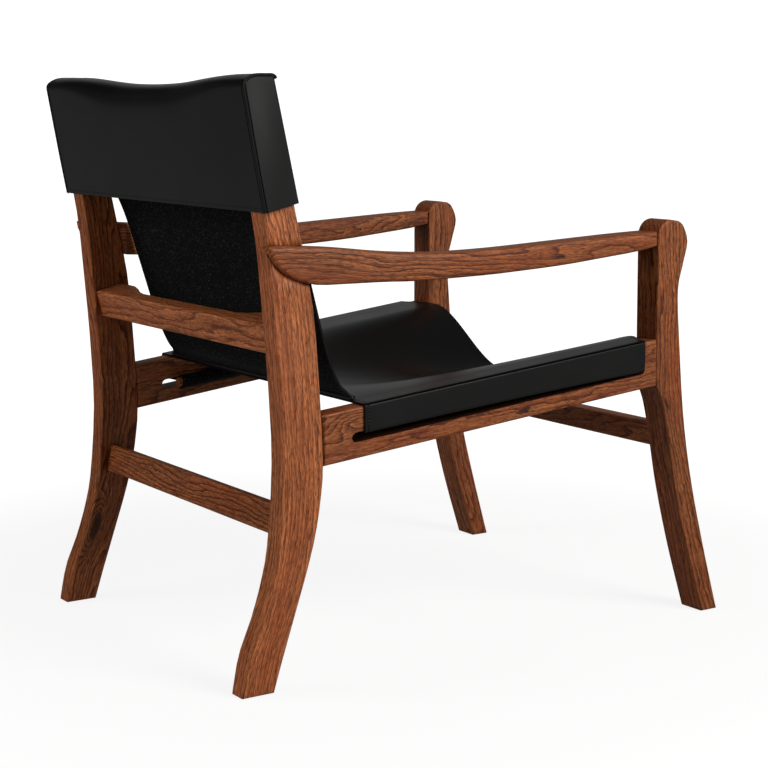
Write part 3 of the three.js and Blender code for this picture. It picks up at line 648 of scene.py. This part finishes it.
def sheetFaces(kept, columns, count):
    # the faces, each with its material: 0 the grain side, 1 the flesh side, 2 a cut edge
    faces, kinds, rim = [], [], {}
    for i, j in zip(*np.nonzero(kept)):
        a, b = i * columns + j, (i + 1) * columns + j
        corners = (a, b, b + 1, a + 1)
        faces += [corners, tuple(count + c for c in reversed(corners))]
        kinds += [0, 1]
        for p, q in zip(corners, corners[1:] + corners[:1]):
            if (q, p) in rim:
                del rim[q, p]
            else:
                rim[p, q] = True
    faces += [(q, p, count + p, count + q) for p, q in rim]
    kinds += [2] * len(rim)
    return faces, kinds


def leatherSheet(name, replaced, grid, sink=None, paintedShade=None, kept=None):
    # sink presses the grain side in, the next grid paints shade on it, and kept says which cells exist
    grid = np.asarray(grid, float)
    rows, columns = grid.shape[:2]
    sink = np.zeros((rows, columns)) if sink is None else sink
    paintedShade = np.zeros((rows, columns)) if paintedShade is None else paintedShade
    kept = np.ones((rows - 1, columns - 1), bool) if kept is None else kept
    normal = gridNormals(grid)
    top = grid + normal * (leather / 2 - sink)[..., None]
    low = grid - normal * leather / 2
    surfaces[name] = top + normal * sheet["overSurface"]
    count = rows * columns
    faces, kinds = sheetFaces(kept, columns, count)
    points = toRow(np.concatenate([top.reshape(-1, 3), low.reshape(-1, 3)]))
    used = np.unique([c for face in faces for c in face])
    renamed = {old: new for new, old in enumerate(used)}
    mesh = meshFrom(name, points[used], [tuple(renamed[c] for c in face) for face in faces])
    mesh.update()
    mesh.polygons.foreach_set("material_index", kinds)
    values = np.concatenate([np.ravel(paintedShade), np.zeros(count)])[used]
    mesh.attributes.new("paintedShade", "FLOAT", "POINT").data.foreach_set("value", values.astype(np.float32))
    mesh.set_sharp_from_angle(angle=math.radians(sheet["sharpFrom"]))
    piece = newObject(name, mesh, grainLeather, suede, cutEdge)
    easeEdges(piece, sheet["cutEasing"], sheet["cutEasedFrom"])
    return finishPiece(piece, "sling_leather", replaced)


def runLengths(points):
    steps = np.linalg.norm(np.diff(np.asarray(points, float), axis=0), axis=1)
    return np.concatenate([[0], np.cumsum(steps)])


hemPlaces = [0, 1.2, 2.4, 3.4, 4.2, 5.0, 5.8, 6.6, 7.6, 9.0, 11.5, 15.0]  # mm in from a hemmed edge
hemLine = 5  # which of them the stitches follow
# a hem's stitch groove is pressed in and gets painted shade
hemGroove = {"width": 0.9, "depth": 0.35, "shadeLevel": 0.6}


def hemmed(length, step):
    # shares from 0 to 1 along a length in mm, close together at both hems
    edge = hemPlaces[-1]
    middle = np.linspace(edge, length - edge, max(round((length - 2 * edge) / step), 2) + 1)[1:-1]
    return np.concatenate([hemPlaces, middle, length - np.array(hemPlaces[::-1])]) / length


def groove(far, place, width):
    return math.exp(-((far - place) / width) ** 2)


def hemAt(far):
    return groove(far, hemPlaces[hemLine], hemGroove["width"])


# Seat: one hide that hangs between the rails, folds over them and is locked in their slots by the dowels

seat = {
    "rearSetback": 61.5, "frontSetback": 25, "sag": 88, "earlyShare": 0.35, "hollowShare": 0.16,
    "shoulderShares": {-1: 1.0, 1: 0.84}, "dowelRadius": 7.5, "foldRadius": 2.1,
    # the front edge stands further forward between the rails than on them
    "frontBow": 16, "bowReach": 50, "bowPower": 6,
    # the flap hangs a little lower toward the front, where its corner is cut round
    "frontDrop": 6, "cornerRadius": 8, "cornerReach": 22, "cornerFrom": 2, "cornerSteps": 8,
    # the loop ends short of a full turn, and leaves the dowel's rear end bare
    "loopGap": 0.52, "loopSetback": 9, "loopReach": 26, "loopFrom": 4, "loopFade": 5,
    # mm between stations; points across, on the rail's top, round the fold, down the flap, into the slot and
    # round the loop
    "stationStep": 6, "acrossSteps": 44, "railSteps": 6, "foldSteps": 8, "flapSteps": 16, "slotSteps": 5,
    "loopSteps": 22,
    # the pressed fold, in points past the crease, shaded to hide its highlight, and shade painted at each
    # rail's inner edge
    "foldDepth": 0.3, "foldPlace": 5.0, "foldWidth": 1.8, "foldEnd": 9, "foldShade": 1.6,
    "bendShadeWidth": 0.7, "bendShade": 0.4, "slopeStretch": 1.01,
}
seatRear = railRearEnd - seat["rearSetback"]
seatFront = frontLeg["back"] + seat["frontSetback"]
seatRun = seatRear - seatFront


def seatSurfaceAt(x, y):
    side = -1 if x < 0 else 1
    hollow = seat["hollowShare"]
    across = abs(x) / (railOuterAt(y) - rail["thickness"])
    run = (across - hollow) / (seat["shoulderShares"][side] - hollow)
    along = min(max((seatRear - y) / seatRun, 0), 1)
    sag = seat["sag"] * along * (1 + seat["earlyShare"] * (1 - along))
    return railTopAt(y) + lift - sag * (1 - float(smooth(run)))


def seatHalf(y, side):
    # one station's section from the chair's middle to the loop's end, and the number of its crease point
    outer = railOuterAt(y)
    inner = outer - rail["thickness"]
    top = railTopAt(y)
    fold = lift - seat["foldRadius"]
    toFront = (seatRear - y) / seatRun
    railSteps = seat["railSteps"]

    def bow(x):
        return seat["frontBow"] * float(smooth((outer - x) / seat["bowReach"])) * toFront ** seat["bowPower"]

    above = [(x, seatSurfaceAt(side * x, y - bow(x))) for x in np.linspace(0, inner, seat["acrossSteps"] + 1)]
    above += [(between(inner, outer + fold, k / railSteps), top + lift) for k in range(1, railSteps)]
    creaseAt = len(above)
    above += arcPoints((outer + fold, top + fold), seat["foldRadius"], math.pi / 2, 0, seat["foldSteps"])
    slotMiddle = top - rail["slotDrop"]
    slotTop = slotMiddle + rail["slotHeight"] / 2 - seat["frontDrop"] * toFront ** 2
    flap = np.linspace(above[-1][1], slotTop, seat["flapSteps"] + 1)[1:-1]
    above += [(above[-1][0], z) for z in flap]
    loopRadius = seat["dowelRadius"] + lift
    dowel = (outer - rail["thickness"] - loopRadius - lift, slotMiddle)
    meets = math.asin((slotTop - lift - slotMiddle) / loopRadius)
    below = arcPoints((outer, slotTop), lift, 0, -math.pi / 2, seat["slotSteps"])
    below += arcPoints(dowel, loopRadius, meets, 2 * math.pi - seat["loopGap"], seat["loopSteps"])

    points = []
    for k, (x, z) in enumerate(above + below):
        away = k - len(above)
        up = min(max((z - slotTop + lift) / seat["cornerRadius"], 0), 1) if k > creaseAt else 1
        corner = min(max(1 - (away - seat["cornerFrom"]) / seat["cornerSteps"], 0), 1)
        pull = seat["cornerRadius"] * (1 - math.sqrt(max(1 - (1 - up) ** 2, 0)))
        pull *= math.exp(-((y - seatFront) / seat["cornerReach"]) ** 2) * corner
        pull -= bow(x) if k < creaseAt else 0
        inLoop = float(smooth((away - seat["loopFrom"]) / seat["loopFade"]))
        pull -= seat["loopSetback"] * inLoop * math.exp(-((seatRear - y) / seat["loopReach"]) ** 2)
        rise = railTopAt(y + pull) - top if k > creaseAt - railSteps else 0
        points.append((side * x, y + pull, z + rise))
    return points, creaseAt


seatGrid, seatSink, seatShade = [], [], []
for share in hemmed(seatRun, seat["stationStep"]):
    y = between(seatRear, seatFront, share)
    (right, creaseAt), (left, creaseAt) = seatHalf(y, -1), seatHalf(y, 1)
    row = right[:0:-1] + left
    seatGrid.append(row)
    hem = hemAt(min(seatRear - y, y - seatFront))
    steps = [abs(k - len(right) + 1) for k in range(len(row))]
    # painted shade on the fold over each rail, hiding its highlight, and on the bend at the rail's inner edge
    folds = [groove(step, creaseAt + seat["foldPlace"], seat["foldWidth"])
             if step < creaseAt + seat["foldEnd"] else 0 for step in steps]
    bendShades = [seat["bendShade"] * groove(step, seat["acrossSteps"], seat["bendShadeWidth"]) for step in steps]
    seatSink.append([seat["foldDepth"] * fold + hemGroove["depth"] * hem for fold in folds])
    seatShade.append([min(fold * seat["foldShade"] + score + hemGroove["shadeLevel"] * hem, 1)
                       for fold, score in zip(folds, bendShades)])
seatPiece = leatherSheet("seat_hide", "seat_sling", seatGrid, np.array(seatSink), np.array(seatShade))
print("seat hide is hung")


# Back: one hide from its seam on the seat up to the posts' top, where it widens into the sleeve's front

back = {
    "seamSetback": 3, "seamFlange": 6, "seamStart": 2, "seamSteps": 7, "seamGap": 0.8, "ease": 0.5,
    "waist": 10, "waistShare": 0.17,
    "pathShares": [(0, 0), (0.055, 0.035), (0.145, 0.08), (0.27, 0.185), (0.4, 0.335), (0.515, 0.485),
                   (0.63, 0.635), (0.78, 0.82), (0.9, 0.935), (1, 1)],
    "rearDepth": 172, "frontDepth": 162, "rearEase": 10.3, "frontEase": 3.3, "bandEase": 0.8,
    "dip": 8.6, "dipPower": 1.6, "earEnd": 21.0, "columnStep": 9, "sweepRows": 64, "headRows": 26,
}
seamRear = seatRear - back["seamSetback"]
backHalf = leg["inner"] - back["ease"]
bandRearLow = leg["height"] - back["rearDepth"]
bandFrontLow = leg["height"] - back["frontDepth"]
bandHalf = leg["outer"] + back["rearEase"] + leather
bandFrontHalf = leg["outer"] + back["frontEase"] + leather
slingTop = leg["height"] - lift
curl = {"inward": 5.0, "forward": lift + back["bandEase"]}  # how the gussets turn round the posts
earHalf = bandFrontHalf - leather / 2 - curl["inward"] - fit
earPlaces = np.array(hemPlaces + [back["earEnd"]])  # mm in from the end of the widened head
earColumns = len(earPlaces)
innerShares = hemmed(2 * backHalf, back["columnStep"])


def frontPanelAt(z):
    return edgeAt(legFront, z) - lift - back["bandEase"]


def dipAt(x):
    across = min(abs(x) / leg["inner"], 1)
    return back["dip"] * math.cos(across * math.pi / 2) ** back["dipPower"]


def onSeat(x, y):
    return seatSurfaceAt(x, y) + leather + back["seamGap"]


def backRow(half, place):
    # place gives y and z; the ears beyond the hems are kept in the widened head alone
    inner = half - 2 * half * innerShares
    ear = (earHalf - backHalf) * (1 - earPlaces / (earHalf - backHalf))
    xs = np.concatenate([half + ear, inner, -half - ear[::-1]])
    return [(x, *place(x)) for x in xs]


backGrid = []
for i in range(back["seamSteps"] + 1):
    y = between(seamRear - back["seamFlange"], seamRear - back["seamStart"], i / back["seamSteps"])
    backGrid.append(backRow(backHalf, lambda x: (y, onSeat(x, y))))
low, high = (seamRear, onSeat(0, seamRear)), (frontPanelAt(bandFrontLow), bandFrontLow)
sweepPlaces = [(between(low[0], high[0], out), between(low[1], high[1], up))
               for out, up in back["pathShares"]]
waistShare = back["waistShare"]
for i, (y, z) in enumerate(splineThrough(sweepPlaces, back["sweepRows"])):
    share = i / back["sweepRows"]
    reach = share / waistShare if share < waistShare else (1 - share) / (1 - waistShare)
    half = backHalf - back["waist"] * float(smooth(reach))
    backGrid.append(backRow(half, lambda x: (y, z + (onSeat(x, seamRear) - low[1]) * (1 - share))))
shoulderRow = len(backGrid) - 1
for i in range(1, back["headRows"] + 1):
    share = i / back["headRows"]
    z = between(bandFrontLow, slingTop, share)
    backGrid.append(backRow(backHalf, lambda x: (frontPanelAt(z), z - dipAt(x) * share)))
backGrid = np.array(backGrid)
rows, columns = backGrid.shape[:2]
backKept = np.ones((rows - 1, columns - 1), bool)
backKept[:shoulderRow, :earColumns] = False
backKept[:shoulderRow, -earColumns:] = False
hems = np.zeros((rows, columns))
for k, far in enumerate(hemPlaces):
    for column in (earColumns + k, -1 - earColumns - k):
        hems[:shoulderRow + 1, column] = hemAt(far)
    for column in (k, -1 - k):
        hems[shoulderRow:, column] = hemAt(far)
pressed, hemShade = hemGroove["depth"] * hems, hemGroove["shadeLevel"] * hems
backPiece = leatherSheet("back_hide", "back_sling", backGrid, pressed, hemShade, backKept)
print("back hide is hung")


# Band: the sleeve's rear panel, sewn at the top of the back, rolled over the posts and down behind them

band = {
    "archRise": 4.4, "archLean": 1.6, "topShares": (0.03, 0.97),
    "lip": [(-6.0, -3.4), (-5.5, -0.9), (-3.2, 1.1)],  # from the post's front corner, in mm
    "lipSteps": 8, "topSteps": 27, "turnSteps": 8, "fallSteps": 40, "evenSteps": 240,
    # the roll is rounder between the posts than on them
    "rollOnPost": 4.0, "rollBetween": 17, "rollMargin": 10, "rollReach": 200,
    # the seam's groove near each end gets painted shade
    "rowStep": 2, "columnStep": 8, "seam": 4.6, "seamWidth": 0.8, "seamDepth": 0.5, "seamShade": 0.95,
    "ridge": 4.4, "ridgeWidth": 1.6, "ridgeRise": 0.55,
}


def archAt(share):  # how far the sleeve's top rises off the post's top, from its front (0) to its rear (1)
    return band["archRise"] * math.sin(math.pi * share ** band["archLean"])


def bandPath():
    front = (edgeAt(legFront, leg["height"]), leg["height"])
    rear = (edgeAt(legBack, leg["backTop"]), leg["backTop"])
    rearLean = math.atan2(rear[0] - edgeAt(legBack, bandRearLow), rear[1] - bandRearLow)
    lip = [(front[0] + out, front[1] + up) for out, up in band["lip"]]
    path = [tuple(p) for p in splineThrough(lip, band["lipSteps"])]
    path += [(between(front[0], rear[0], t), between(front[1], rear[1], t) + lift + archAt(t))
             for t in np.linspace(*band["topShares"], band["topSteps"] + 1)]
    fall = math.atan2(front[1] - rear[1] + band["archRise"] * math.pi * band["archLean"], rear[0] - front[0])
    path += arcPoints(rear, lift, math.pi / 2 - fall, -rearLean, band["turnSteps"])
    turnEnd = path[-1][1]
    for i in range(1, band["fallSteps"] + 1):
        z = between(turnEnd, bandRearLow, i / band["fallSteps"])
        path.append((edgeAt(legBack, z) + lift / math.cos(rearLean), z))
    return np.array(path)


def placedAt(path, shares):
    length = runLengths(path)
    return np.stack([np.interp(shares * length[-1], length, column) for column in path.T], 1)


def relaxed(path, spread):
    # rounds the corners of a path off, and keeps its ends
    reach = int(spread * 3) + 1
    weights = np.exp(-0.5 * (np.arange(-reach, reach + 1) / spread) ** 2)
    weights /= weights.sum()
    padded = np.concatenate([2 * path[0] - path[reach:0:-1], path, 2 * path[-1] - path[-2:-reach - 2:-1]])
    return np.stack([np.convolve(column, weights, "valid") for column in padded.T], 1)


bandLine = placedAt(bandPath(), np.linspace(0, 1, band["evenSteps"] + 1))
bandStep, bandLength = runLengths(bandLine)[[1, -1]]
bandShares = hemmed(bandLength, band["rowStep"])
topRun = runLengths(bandLine)[bandLine[:, 0].argmax()]
forward = np.clip(1 - bandShares * bandLength / topRun, 0, 1)
bandColumns, bandSink, bandShade = [], [], []
for x in bandHalf * (1 - 2 * hemmed(2 * bandHalf, band["columnStep"])):
    free = float(smooth((leg["inner"] + band["rollMargin"] - abs(x)) / band["rollReach"]))
    roll = band["rollOnPost"] + band["rollBetween"] * free
    line = placedAt(relaxed(bandLine, roll / bandStep), bandShares)
    height = np.clip((line[:, 1] - bandRearLow) / (leg["height"] - bandRearLow), 0, 1)
    xs = x * between(1, bandFrontHalf / bandHalf, forward)
    bandColumns.append([(x, y, z - dipAt(x) * h ** 2) for x, (y, z), h in zip(xs, line, height)])
    fromEnd = bandHalf - abs(x)
    seam = groove(fromEnd, band["seam"], band["seamWidth"])
    ridge = float(smooth((band["ridge"] - fromEnd) / band["ridgeWidth"]))
    bandSink.append([band["seamDepth"] * seam - band["ridgeRise"] * ridge] * len(bandShares))
    bandShade.append([band["seamShade"] * seam] * len(bandShares))
bandGrid = np.transpose(np.array(bandColumns), (1, 0, 2))
bandSink, bandShade = np.array(bandSink).T, np.array(bandShade).T
bandPiece = leatherSheet("back_band_hide", "back_band", bandGrid, bandSink, bandShade)
print("sleeve band is sewn")


# Gussets close the sleeve along the outer face of each post

gusset = {
    "height": 170, "depth": 60, "columnStep": 5, "rows": 40, "bulge": 1.6, "topPower": 4,
    "turns": (15, 30, 45, 60, 75, 90), "rimShade": 0.8, "rimWidth": 1.0,
}
gussetShares = hemmed(gusset["depth"], gusset["columnStep"])


def gussetRow(side, share):
    # from the rear corner of the post to its front, then round the corner
    rearZ = between(bandRearLow, leg["backTop"], share)
    frontZ = between(bandFrontLow, leg["height"], share)
    rear = np.array([bandHalf - leather / 2, edgeAt(legBack, rearZ), rearZ])
    front = np.array([bandFrontHalf - leather / 2, edgeAt(legFront, frontZ), frontZ])
    row = []
    for across in gussetShares:
        x, y, z = between(rear, front, across)
        x += gusset["bulge"] * math.sin(math.pi * across) * math.sin(math.pi * share)
        z += (lift - leather / 2 - fit + archAt(1 - across)) * share ** gusset["topPower"]
        row.append((side * x, y, z))
    for turn in np.radians(gusset["turns"]):
        x = front[0] - curl["inward"] * (1 - math.cos(turn))
        row.append((side * x, front[1] - curl["forward"] * math.sin(turn), row[-1][2]))
    return row


for side, name in ((1, "left"), (-1, "right")):
    grid = [gussetRow(side, i / gusset["rows"]) for i in range(gusset["rows"] + 1)]
    # painted shade along the rear edge, where the gusset meets the band
    rim = [gusset["rimShade"] * groove(gusset["depth"] * across, 0, gusset["rimWidth"])
           for across in gussetShares]
    paintedShade = np.tile(rim + [0] * len(gusset["turns"]), (len(grid), 1))
    if side < 0:
        grid = [row[::-1] for row in grid]
        paintedShade = paintedShade[:, ::-1]
    piece = leatherSheet(f"gusset_{name}_hide", f"band_gusset_{name}", grid, paintedShade=paintedShade)
print("gussets are set")


# Piping: a round leather cord covers the seam where the back's foot meets the seat's rear edge

piping = {"radius": 2.9, "before": 1.8, "above": 2.5, "beyond": 2, "points": 80, "sides": 12}
pipingHalf = backHalf + piping["beyond"]
pipingLine = [(x, seatRear - piping["before"], seatSurfaceAt(x, seatRear) + leather / 2 + piping["above"])
              for x in np.linspace(-pipingHalf, pipingHalf, piping["points"])]


def cordAlong(name, path, radius, sides):
    path = np.asarray(path, float)
    tangent = np.gradient(path, axis=0)
    tangent /= np.linalg.norm(tangent, axis=1, keepdims=True)
    up = np.cross(tangent, [0.0, 1.0, 0.0])
    up /= np.linalg.norm(up, axis=1, keepdims=True)
    other = np.cross(tangent, up)
    cap = [(radius * math.sin(a), radius * math.cos(a)) for a in np.radians([20, 40, 60, 80])]
    rings = [(path[0] - tangent[0] * out, narrow, 0) for out, narrow in cap[::-1]]
    rings += [(point, radius, i) for i, point in enumerate(path)]
    rings += [(path[-1] + tangent[-1] * out, narrow, -1) for out, narrow in cap]
    turns = np.linspace(0, 2 * math.pi, sides, endpoint=False)
    points = [centre + r * (math.cos(a) * up[i] + math.sin(a) * other[i])
              for centre, r, i in rings for a in turns]
    faces = [(a + j, a + (j + 1) % sides, a + (j + 1) % sides + sides, a + j + sides)
             for a in range(0, len(points) - sides, sides) for j in range(sides)]
    faces += [tuple(reversed(range(sides))), tuple(range(len(points) - sides, len(points)))]
    return finishPiece(newObject(name, meshFrom(name, toRow(points), faces), grainLeather), "sling_leather")


cordAlong("back_foot_piping", pipingLine, piping["radius"], piping["sides"])
print("piping is laid")


# Stitches: a row of short rounded bars of thread along each given path

stitch = {"Spacing": 0.0046, "Length": 0.0034, "Thickness": 0.0010}  # metres
stitchSeed = 7
stitchUneven = {"least": 0.9, "most": 1.08}


def stitchTree():
    tree = bpy.data.node_groups.new("rows_of_stitches", "GeometryNodeTree")
    face = tree.interface
    face.new_socket("Paths", in_out="INPUT", socket_type="NodeSocketGeometry")
    for label, value in stitch.items():
        face.new_socket(label, in_out="INPUT", socket_type="NodeSocketFloat").default_value = value
    face.new_socket("Seed", in_out="INPUT", socket_type="NodeSocketInt").default_value = stitchSeed
    face.new_socket("Thread", in_out="INPUT", socket_type="NodeSocketMaterial")
    face.new_socket("Stitches", in_out="OUTPUT", socket_type="NodeSocketGeometry")
    add = partial(addNode, tree, "")
    given = add("NodeGroupInput", output=None).outputs
    rows = add("GeometryNodeMeshToCurve", {0: given["Paths"]})
    rows = add("GeometryNodeResampleCurve", {"Curve": rows, "Length": given["Spacing"]}, mode="LENGTH")
    along = add("GeometryNodeInputTangent")
    turn = add("FunctionNodeAlignRotationToVector", {"Vector": along}, axis="Z")
    bar = add("GeometryNodeMeshUVSphere", {"Segments": 6, "Rings": 5, "Radius": 0.5})
    uneven = {2: stitchUneven["least"], 3: stitchUneven["most"], "Seed": given["Seed"]}
    uneven = add("FunctionNodeRandomValue", uneven, output=1, data_type="FLOAT")
    length = add("ShaderNodeMath", {0: given["Length"], 1: uneven}, operation="MULTIPLY")
    size = add("ShaderNodeCombineXYZ", {0: given["Thickness"], 1: given["Thickness"], 2: length})
    sewn = add("GeometryNodeInstanceOnPoints", {
        "Points": rows, "Instance": bar, "Rotation": turn, "Scale": size})
    sewn = add("GeometryNodeRealizeInstances", {0: sewn})
    sewn = add("GeometryNodeSetMaterial", {0: sewn, "Material": given["Thread"]})
    add("NodeGroupOutput", {0: sewn})
    return tree


sewing = stitchTree()
sockets = {item.name: item.identifier for item in sewing.interface.items_tree}


def sewnRows(name, paths):
    points, links = [], []
    for path in paths:
        links += [(len(points) + i, len(points) + i + 1) for i in range(len(path) - 1)]
        points += list(toRow(path))
    piece = newObject(name, meshFrom(f"{name}_paths", points, [], links))
    rows = piece.modifiers.new("sewing", "NODES")
    rows.node_group = sewing
    rows[sockets["Thread"]] = thread
    solid = bpy.data.meshes.new_from_object(piece.evaluated_get(bpy.context.evaluated_depsgraph_get()))
    piece.modifiers.clear()
    piece.data = solid
    solid.name = name
    solid.polygons.foreach_set("use_smooth", [True] * len(solid.polygons))
    return finishPiece(piece, "sling_leather")


seatTop, backTop, bandTop = (surfaces[name] for name in ("seat_hide", "back_hide", "back_band_hide"))
flapColumns = 12  # the flap's columns below the fold that the hem's stitches run down
lastSeatColumn = seatTop.shape[1] // 2 + creaseAt + seat["foldSteps"] + flapColumns
seatSpan = slice(seatTop.shape[1] - 1 - lastSeatColumn, lastSeatColumn + 1)
sewnRows("seat_stitches", [seatTop[hemLine, seatSpan], seatTop[-1 - hemLine, seatSpan]])
inner = earColumns + hemLine
sewnRows("back_stitches", [
    backTop[:shoulderRow, inner], backTop[:shoulderRow, -1 - inner], backTop[shoulderRow:, hemLine],
    backTop[shoulderRow:, -1 - hemLine], backTop[2, inner:-inner]])
seamColumn = hemLine + 1
sewnRows("back_band_stitches", [
    bandTop[2:, seamColumn], bandTop[2:, -1 - seamColumn], bandTop[-1 - hemLine, seamColumn:-seamColumn]])
print("seams are stitched")
